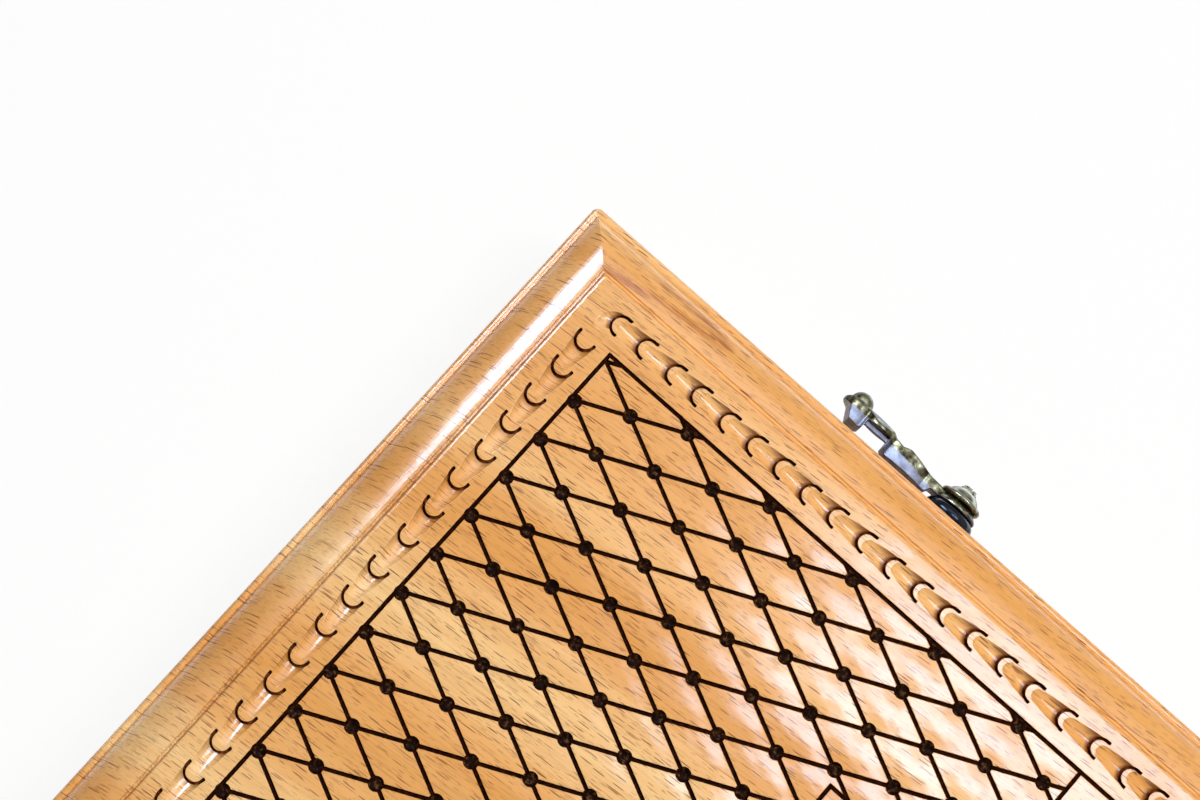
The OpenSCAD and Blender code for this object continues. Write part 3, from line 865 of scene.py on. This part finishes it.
# Walls
# Each half has four walls of the same beech, 12 mm thick and 16 mm high, mitred and glued to each
# other and to the outer panel. The grain runs along each wall, and the edges are lightly eased.
nodes = frame["nodes"]
wall_cell = (5.2, 1.5, 3.0)
wall_edge = 0.25


def merged_copy(node_name, name):
    """A copy of a solid with its corners merged and its flat faces made whole."""
    piece = bpy.data.objects.new(name, nodes[node_name].data.copy())
    piece.data.name = name
    bpy.context.scene.collection.objects.link(piece)
    work_on(piece)
    if piece.data.has_custom_normals:
        bpy.ops.mesh.customdata_custom_splitnormals_clear()
    edit()
    select_all()
    bpy.ops.mesh.remove_doubles(threshold=1e-6)
    bpy.ops.mesh.dissolve_limited(angle_limit=math.radians(0.3))
    leave_all()
    return piece


def shade(piece):
    work_on(piece)
    bpy.ops.object.shade_smooth_by_angle(angle=math.radians(35))


def ease_edges(piece, width, segments=3):
    work_on(piece)
    modifier = piece.modifiers.new("eased", "BEVEL")
    modifier.width = width * MM
    modifier.segments = segments
    modifier.limit_method = "ANGLE"
    modifier.angle_limit = math.radians(38)
    bpy.ops.object.modifier_apply(modifier="eased")
    shade(piece)


def fit(piece, body, node_name, material):
    """Puts a finished piece on its body in place of its solid, with its material."""
    piece.data.materials.clear()
    piece.data.materials.append(material)
    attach(piece, body)
    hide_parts(node_name)


long_wall_beech = bpy.data.materials.new("lacquered_beech_long_wall")
end_wall_beech = bpy.data.materials.new("lacquered_beech_end_wall")
lacquered_beech(long_wall_beech, 0, wall_cell)
lacquered_beech(end_wall_beech, quarter, wall_cell)
wall_woods = {
    "front": long_wall_beech,
    "back": long_wall_beech,
    "left": end_wall_beech,
    "right": end_wall_beech,
}
for half in ("lower", "upper"):
    for side, wall_beech in wall_woods.items():
        wall = merged_copy(f"{half}_{side}_wall", f"{half}_{side}_mitred_wall")
        ease_edges(wall, wall_edge)
        fit(wall, half + "_half", f"{half}_{side}_wall", wall_beech)


# Playing field
# A veneered board lies in each half, with six dark and six light points let in flush: walnut and
# maple in pear wood, under a satin lacquer. The grain of the points runs along them.
def plain_wood(material, light, main, dark, pore, turn=0.0, gloss=0.35, band=(120, 9, 9)):
    """A fine wood, its colours from light to dark, with bands, fibre and short pores along the grain."""
    grain = in_mm(material, start(material), turn)
    bands = noise(material, in_cells(material, grain, band), 1.0, 4.0, Distortion=0.6)
    colour = tinted(material, bands, (0.3, dark), (0.5, main), (0.7, light))
    fibre = noise(material, in_cells(material, grain, (14, 0.5, 0.5)), 1.0, 2.0)
    fibre = slide(material, fibre, 0.45, 0.8, 0.45)
    pores = flecks(material, grain, (6.0, 1.1, 1.1), (1.8, 0.14, 0.5), 0.6)
    shade = calculate(material, "MAXIMUM", fibre, pores)
    surface = {
        "Base Color": stain_with(material, colour, shade, pore),
        "Roughness": 0.5,
        "IOR": 1.5,
        "Normal": uneven(material, shade, 0.03, invert=True),
        "Coat Weight": 0.6,
        "Coat Roughness": gloss,
    }
    finish_surface(material, surface)


def finish_solid(node_name, material):
    nodes[node_name].data.materials.clear()
    nodes[node_name].data.materials.append(material)


pear = bpy.data.materials.new("satin_pear_veneer")
walnut = bpy.data.materials.new("satin_walnut_inlay")
maple = bpy.data.materials.new("satin_maple_inlay")
plain_wood(pear, "#D9A070", "#CB8E5C", "#B87A4A", "#8E5632")
plain_wood(walnut, "#6A4228", "#4C2D1A", "#341D10", "#1E0F08")
plain_wood(maple, "#F2DDB4", "#E9CE9D", "#DCBB86", "#B8925E")
for half in ("lower", "upper"):
    finish_solid(half + "_field_board", pear)
    finish_solid(half + "_dark_points", walnut)
    finish_solid(half + "_light_points", maple)


# Hinges
# Two butt hinges of brass sheet, 1.2 mm thick and rolled round a pin, are let into the back walls.
# Three countersunk brass screws, with slotted heads, hold each leaf.
hinge_x = 170.0
hinge_screw_y = 143.85
hinge_screw_pitch = 16.67
hinge_faces = {"lower": 28.0, "upper": 28.3}
leaf_edge = 0.15
slot_width = 0.55
slot_depth = 0.6


def metal(material, bright, dull, roughness, grit, scratch=(1, 1, 1)):
    """Bare metal, its colour bright where it is rubbed and dull where it has toned. Grit is in mm."""
    place = {"Vector": start(material), "Scale": [s / MM for s in scratch]}
    place = add_node(material, "Mapping", place).outputs[0]
    toned = noise(material, place, 0.35, 3.0)
    grain = noise(material, place, 1 / grit, 2.0)
    surface = {
        "Base Color": tinted(material, toned, (0.35, dull), (0.65, bright)),
        "Metallic": 1.0,
        "Roughness": slide(material, grain, 0.0, 1.0, 1.25 * roughness, 0.8 * roughness),
        "Normal": uneven(material, grain, 0.01),
    }
    finish_surface(material, surface)


# Brass sheet that has been brushed along the hinge, and drawn brass wire for the pins.
satin_brass = bpy.data.materials.new("satin_brass")
metal(satin_brass, "#E3C070", "#C29A4C", 0.3, 0.4, scratch=(0.15, 1, 1))
drawn_brass = bpy.data.materials.new("drawn_brass_pin")
metal(drawn_brass, "#D8B260", "#B48A40", 0.35, 0.3)
finish_solid("hinge_pins", drawn_brass)
for half, face_z in hinge_faces.items():
    for side in ("left", "right"):
        leaf = merged_copy(f"{side}_hinge_{half}_leaf", f"{side}_{half}_brass_leaf")
        ease_edges(leaf, leaf_edge)
        fit(leaf, half + "_half", f"{side}_hinge_{half}_leaf", satin_brass)
    screws = merged_copy(half + "_hinge_screws", half + "_slotted_screws")
    screw_slot = add_block("screw_slot_pattern", (6 * MM, slot_width * MM, 2 * slot_depth * MM))
    places = []
    for side in (1, -1):
        for i in (-1, 0, 1):
            turn = 0.5 + 1.9 * i + 0.7 * side + face_z
            places.append((side * hinge_x + i * hinge_screw_pitch, hinge_screw_y, turn, 1))
    cut(screws, set_out(screw_slot, "screw_slots", places, face_z * MM), "EXACT")
    bpy.data.objects.remove(screw_slot)
    shade(screws)
    fit(screws, half + "_half", half + "_hinge_screws", satin_brass)


# Clasps
# Each is a cast swing hook that turns on a screw with a flange and a slotted button, over a round
# base. Its tip catches a stud on the lower half. The castings are plated with nickel, which has
# gone warm and dark on the front, partly its own tone and partly painted reflection of dark
# surroundings, and is still pale and bluish behind, and the bases are black.
clasp_x = 182.0
board_front = 150.0
casting_voxel = 0.17
casting_smooth = 5
casting_kept = 0.4
parting_reach = (9, 30, 6.8, 4.4)
parting_blur = 0.5
screw_edge = 0.12

# Cast nickel plate: brown-black clouds on the worn front, partly its own tone and partly painted
# reflection of dark surroundings, and paler, bluish and less shiny metal behind it. Where the two
# meet stands further out along the arm. Fine pits break up the shine.
antique_nickel = bpy.data.materials.new("antique_nickel_casting")
place = start(antique_nickel)
at = add_node(antique_nickel, "SeparateXYZ", {0: place}).outputs
arm_side = calculate(antique_nickel, "SIGN", at["X"])
along_arm = calculate(antique_nickel, "MULTIPLY_ADD", arm_side, -clasp_x * MM, at["X"])
parting = slide(antique_nickel, along_arm, *[c * MM for c in parting_reach])
proud = calculate(antique_nickel, "SUBTRACT", -board_front * MM, at["Y"])
proud = calculate(antique_nickel, "SUBTRACT", proud, parting)
front_part = ease(antique_nickel, proud, 0.0, parting_blur * MM, 1.0)
grain = in_mm(antique_nickel, place)
clouds = noise(antique_nickel, grain, 0.45, 4.0)
# The dark front tones are partly painted reflection of dark surroundings.
toned = tinted(antique_nickel, clouds, (0.35, "#241E12"), (0.52, "#504832"), (0.72, "#8C866A"))
bright = tinted(antique_nickel, clouds, (0.35, "#5E5B62"), (0.65, "#7C7A80"))
both = {"Factor": front_part, 6: bright, 7: toned}
pits = noise(antique_nickel, grain, 2.6, 3.0)
surface = {
    "Base Color": add_node(antique_nickel, "Mix", both, data_type="RGBA").outputs[2],
    "Metallic": 1.0,
    "Roughness": slide(antique_nickel, front_part, 0.0, 1.0, 0.27, 0.5),
    "Normal": uneven(antique_nickel, pits, 0.04),
}
finish_surface(antique_nickel, surface)

# Black nickel that mirrors the light softly, and the yellower nickel of turned parts.
black_nickel = bpy.data.materials.new("black_nickel")
metal(black_nickel, "#2A2B30", "#17181B", 0.1, 1.2)
turned_nickel = bpy.data.materials.new("turned_antique_nickel")
metal(turned_nickel, "#8C866E", "#453F2C", 0.2, 0.8)

for side in ("left", "right"):
    hook = merged_copy(side + "_hook", side + "_cast_hook")
    work_on(hook)
    modifier = hook.modifiers.new("cast", "REMESH")
    modifier.mode = "VOXEL"
    modifier.voxel_size = casting_voxel * MM
    bpy.ops.object.modifier_apply(modifier="cast")
    modifier = hook.modifiers.new("rounded", "SMOOTH")
    modifier.factor = 0.5
    modifier.iterations = casting_smooth
    bpy.ops.object.modifier_apply(modifier="rounded")
    modifier = hook.modifiers.new("lighter", "DECIMATE")
    modifier.ratio = casting_kept
    bpy.ops.object.modifier_apply(modifier="lighter")
    bpy.ops.object.shade_smooth()
    fit(hook, side + "_hook", side + "_hook", antique_nickel)

for node_name, name, body, slot, plating in (
    ("latch_bases", "clasp_bases", "upper_half", "clasp_base", black_nickel),
    ("latch_screws", "clasp_pivot_screws", "upper_half", "clasp_nickel", turned_nickel),
    ("latch_keepers", "keeper_studs", "lower_half", "clasp_nickel", turned_nickel),
):
    turned = merged_copy(node_name, name)
    ease_edges(turned, screw_edge, 2)
    fit(turned, body, node_name, plating)


# Checkers
# Fifteen light and fifteen dark checkers are turned from maple and walnut, with a half round edge,
# a ring groove and a dished middle on both faces. They lie in two rows in the lower half.
checker_height = 9.0
checker_r = 19.0
edge_r = checker_height / 2
ring_r = 1.0
ring_at = checker_r - edge_r - ring_r
dish_r = 9.0
dish_depth = 0.8
field_z = 15.0
checker_pitch = 38.4
checker_y = 118.7

# Half the section of a checker, from the middle of a face to the widest part of the edge.
half_profile = [(dish_r * i / 5, dish_depth * (1 - (i / 5) ** 2)) for i in range(5)]
half_profile += [(dish_r - 0.2, 0.04), (dish_r + 0.2, 0.0), (ring_at - ring_r - 0.15, 0.0)]
for i in range(7):
    turn = math.radians(160 - i * 140 / 6)
    half_profile.append((ring_at + ring_r * math.cos(turn), ring_r * math.sin(turn)))
half_profile += [(ring_at + ring_r + 0.1, 0.05)]
for i in range(1, 7):
    turn = math.radians(15 * i)
    half_profile.append((checker_r - edge_r * (1 - math.sin(turn)), edge_r * (1 - math.cos(turn))))
whole_profile = half_profile + [(r, checker_height - z) for r, z in reversed(half_profile[:-1])]

leave_all()
bpy.ops.mesh.primitive_plane_add(size=MM)
checker = name_new("checker_pattern")
edit()
bpy.ops.mesh.select_mode(type="VERT")
select_all()
bpy.ops.mesh.merge(type="CENTER")
bpy.ops.transform.translate(value=(0, 0, whole_profile[0][1] * MM))
for (r, z), (next_r, next_z) in zip(whole_profile, whole_profile[1:]):
    bpy.ops.mesh.extrude_region_move(
        TRANSFORM_OT_translate={"value": ((next_r - r) * MM, 0, (next_z - z) * MM)}
    )
select_all()
bpy.ops.mesh.spin(steps=48, angle=2 * math.pi, center=(0, 0, 0), axis=(0, 0, 1))
select_all()
bpy.ops.mesh.remove_doubles(threshold=1e-6)
bpy.ops.mesh.normals_make_consistent(inside=False)
shade(checker)

light_wood = bpy.data.materials.new("turned_maple")
dark_wood = bpy.data.materials.new("turned_walnut")
polished = {"gloss": 0.16, "band": (60, 5, 5)}
plain_wood(light_wood, "#F0D3A0", "#E4BF86", "#D2A468", "#A87842", turn=0.5, **polished)
plain_wood(dark_wood, "#6E4429", "#4E2E1B", "#341C10", "#1C0E07", turn=-0.4, **polished)
for kind, side, wood in (("light", -1, light_wood), ("dark", 1, dark_wood)):
    for i in range(15):
        place = Vector(((i - 7) * checker_pitch, side * checker_y, field_z)) * MM
        place = Matrix.Translation(place) @ Matrix.Rotation(i * 0.37, 4, "Z")
        piece = add_copy(checker, f"turned_{kind}_checker_{i + 1:02d}", place)
        fit(piece, kind + "_checkers", f"{kind}_checker_{i + 1:02d}", wood)
bpy.data.objects.remove(checker)


# Dice
# Two moulded dice, 12 mm wide, with rounded edges and drilled pips that are filled with black.
die_width = 12.0
die_edge = 1.3
pip_r = 1.2
pip_step = 3.0
pip_lift = 0.4 * pip_r
dice_places = (("first", -14.0, 89.7, 12, False), ("second", 12.0, 87.7, -25, True))

leave_all()
bpy.ops.mesh.primitive_cube_add(size=die_width * MM)
die = name_new("die_pattern")
edit()
select_all()
bpy.ops.mesh.bevel(offset=die_edge * MM, segments=5, affect="EDGES")
leave_all()
ivory = bpy.data.materials.new("ivory_moulded_plastic")
black = bpy.data.materials.new("black_pip_paint")
slots_of(die, [ivory, black], 0)

one = [(0, 0)]
two = [(-1, -1), (1, 1)]
four = two + [(-1, 1), (1, -1)]
faces = (
    (one, Matrix.Identity(4)),
    (two, Matrix.Rotation(quarter, 4, "X")),
    (one + two, Matrix.Rotation(quarter, 4, "Y")),
    (four, Matrix.Rotation(-quarter, 4, "Y")),
    (one + four, Matrix.Rotation(-quarter, 4, "X")),
    (four + [(-1, 0), (1, 0)], Matrix.Rotation(math.pi, 4, "X")),
)
pips = []
for spots, turn in faces:
    for across, along in spots:
        leave_all()
        bpy.ops.mesh.primitive_uv_sphere_add(segments=20, ring_count=12, radius=pip_r * MM)
        pip = name_new("pip")
        spot = Vector((across * pip_step, along * pip_step, die_width / 2 + pip_lift))
        pip.data.transform(turn @ Matrix.Translation(spot * MM))
        slots_of(pip, [ivory, black], 1)
        pips.append(pip)
cut(die, join(pips))
shade(die)

# Moulded plastic: nearly even and glossy for the dice, and matt black paint in their pips.
for material, colours, roughness in (
    (ivory, ("#F4ECD8", "#EADFC4"), 0.18),
    (black, ("#16130F", "#0B0908"), 0.4),
):
    place = start(material)
    cloud = noise(material, place, 260.0, 3.0)
    fine = noise(material, place, 2500.0, 1.0)
    surface = {
        "Base Color": tinted(material, cloud, *zip((0.35, 0.65), colours)),
        "Roughness": roughness,
        "IOR": 1.5,
        "Normal": uneven(material, fine, 0.006),
    }
    finish_surface(material, surface)
for order, x, y, degrees, tipped in dice_places:
    turn = Matrix.Rotation(math.radians(degrees), 4, "Z")
    if tipped:
        turn = turn @ Matrix.Rotation(quarter, 4, "Z") @ Matrix.Rotation(quarter, 4, "X")
    place = Matrix.Translation(Vector((x, y, field_z + die_width / 2)) * MM)
    piece = add_copy(die, order + "_moulded_die", place @ turn)
    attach(piece, "dice")
    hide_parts(order + "_die")
bpy.data.objects.remove(die)


# Table top
# A plain matt white table that the board lies on. The eye and the reflections see it lit evenly,
# so that it stays white, while the light that it throws on the board is weaker.
table_glow = 0.9


def seen_directly(material):
    """One for rays from the eye and for reflected ones, and nothing for scattered light."""
    rays = add_node(material, "LightPath").outputs
    either = calculate(material, "MAXIMUM", rays["Is Camera Ray"], rays["Is Glossy Ray"])
    return calculate(material, "MAXIMUM", either, rays["Is Transmission Ray"])


leave_all()
bpy.ops.mesh.primitive_plane_add(size=6)
table = name_new("table_top")
white = bpy.data.materials.new("white_table")
start(white)
table_surface = add_node(white, "BsdfDiffuse", {"Color": paint("#FAFAFA")})
glow = add_node(white, "Emission", {"Color": (1, 1, 1, 1), "Strength": 1.0})
lit = times(white, seen_directly(white), table_glow)
top = add_node(white, "MixShader", {0: lit, 1: table_surface.outputs[0], 2: glow.outputs[0]})
add_node(white, "OutputMaterial", {"Surface": top.outputs[0]})
table.data.materials.append(white)


# Light
# One large softbox stands over the clasp side for the plain light. Cards with soft edges give the
# lacquer and the metal their bluish reflections, as daylight does, and it is pale all round.
daylight = "#C4DDFF"
board_middle = (0.25, -0.1, 0.05)
sheet_height = 0.002
sheet_radiance = 2.6


def add_softbox(name, position, aim, size, radiance, soft=0.5, tint="#FFFFFF"):
    """A lit rectangle of this radiance, which fades over its edges."""
    lamp = bpy.data.lights.new(name, "AREA")
    lamp.shape = "RECTANGLE"
    lamp.size, lamp.size_y = size
    lamp.energy = radiance * math.pi * size[0] * size[1]
    box = bpy.data.objects.new(name, lamp)
    box.location = position
    box.rotation_euler = (Vector(aim) - Vector(position)).to_track_quat("-Z", "Y").to_euler()
    bpy.context.scene.collection.objects.link(box)
    lamp.use_nodes = True
    lamp.node_tree.nodes.clear()
    where = add_node(lamp, "NewGeometry").outputs["Parametric"]
    where = add_node(lamp, "SeparateXYZ", {0: where}).outputs
    level = 1.0
    for axis in "XY":
        edge = calculate(lamp, "PINGPONG", where[axis], 0.5)
        level = times(lamp, ease(lamp, edge, 0.0, soft / 2, 1.0), level)
    glow = add_node(lamp, "Emission", {"Color": paint(tint), "Strength": level})
    add_node(lamp, "OutputLight", {"Surface": glow.outputs[0]})
    return box


key = add_softbox("softbox_above", (0.03, -0.43, 1.3), (0.2, -0.1, 0.05), (0.8, 0.6), 19.5)
key.visible_glossy = False
for name, x, y, size, radiance in (
    ("card_above", 0.015, -0.312, (0.34, 0.19), 30),
    ("card_above_left", -0.3, -0.4, (0.7, 0.32), 27),
):
    card = add_softbox(name, (x, y, 1.2), (x, y, 0), size, radiance, 0.6, daylight)
    card.rotation_euler = (0, 0, 0)
    card.visible_diffuse = False
for name, position, size, radiance, soft in (
    ("card_end", (0.84, -0.32, 0.875), (0.3, 0.75), 46, 0.6),
    ("card_wall", (0.4, -0.75, 0.95), (2.2, 1.1), 3.2, 0.8),
):
    card = add_softbox(name, position, board_middle, size, radiance, soft, daylight)
    card.visible_diffuse = False
# Two lit sheets on the table brighten what the castings and the moulding reflect from beside them.
for name, x, y, size in (
    ("sheet_by_end", 0.415, 0.01, (0.12, 0.5)),
    ("sheet_by_front", 0.1, -0.235, (0.9, 0.09)),
):
    sheet = add_softbox(name, (x, y, sheet_height), (0, 0, 1), size, sheet_radiance, 0.3, daylight)
    sheet.rotation_euler = (math.pi, 0, 0)
    sheet.visible_diffuse = False
    sheet.visible_camera = False
room_light = 0.1
world = bpy.data.worlds.new("pale_room")
bpy.context.scene.world = world
world.use_nodes = True
world.node_tree.nodes.clear()
level = slide(world, seen_directly(world), 0.0, 1.0, 1.0, room_light)
room = add_node(world, "Background", {"Color": (1, 1, 1, 1), "Strength": level})
add_node(world, "OutputWorld", {"Surface": room.outputs[0]})


# Camera
# It looks down on the corner by the right clasp, as in the photograph.
camera_place = (0.2338, 0.0146, 0.754)
looking = (0.0459, -0.1783, -0.9829)
picture_top = (0.6628, -0.7307, 0.1635)
lens = bpy.data.cameras.new("camera")
lens.lens = 86.8
lens.sensor_width = 36
camera = bpy.data.objects.new("camera", lens)
forward = Vector(looking).normalized()
sideways = forward.cross(Vector(picture_top)).normalized()
turned_to = Matrix((sideways, sideways.cross(forward), -forward)).transposed()
camera.matrix_world = Matrix.Translation(camera_place) @ turned_to.to_4x4()
bpy.context.scene.collection.objects.link(camera)
bpy.context.scene.camera = camera
bpy.context.scene.view_settings.view_transform = "Standard"
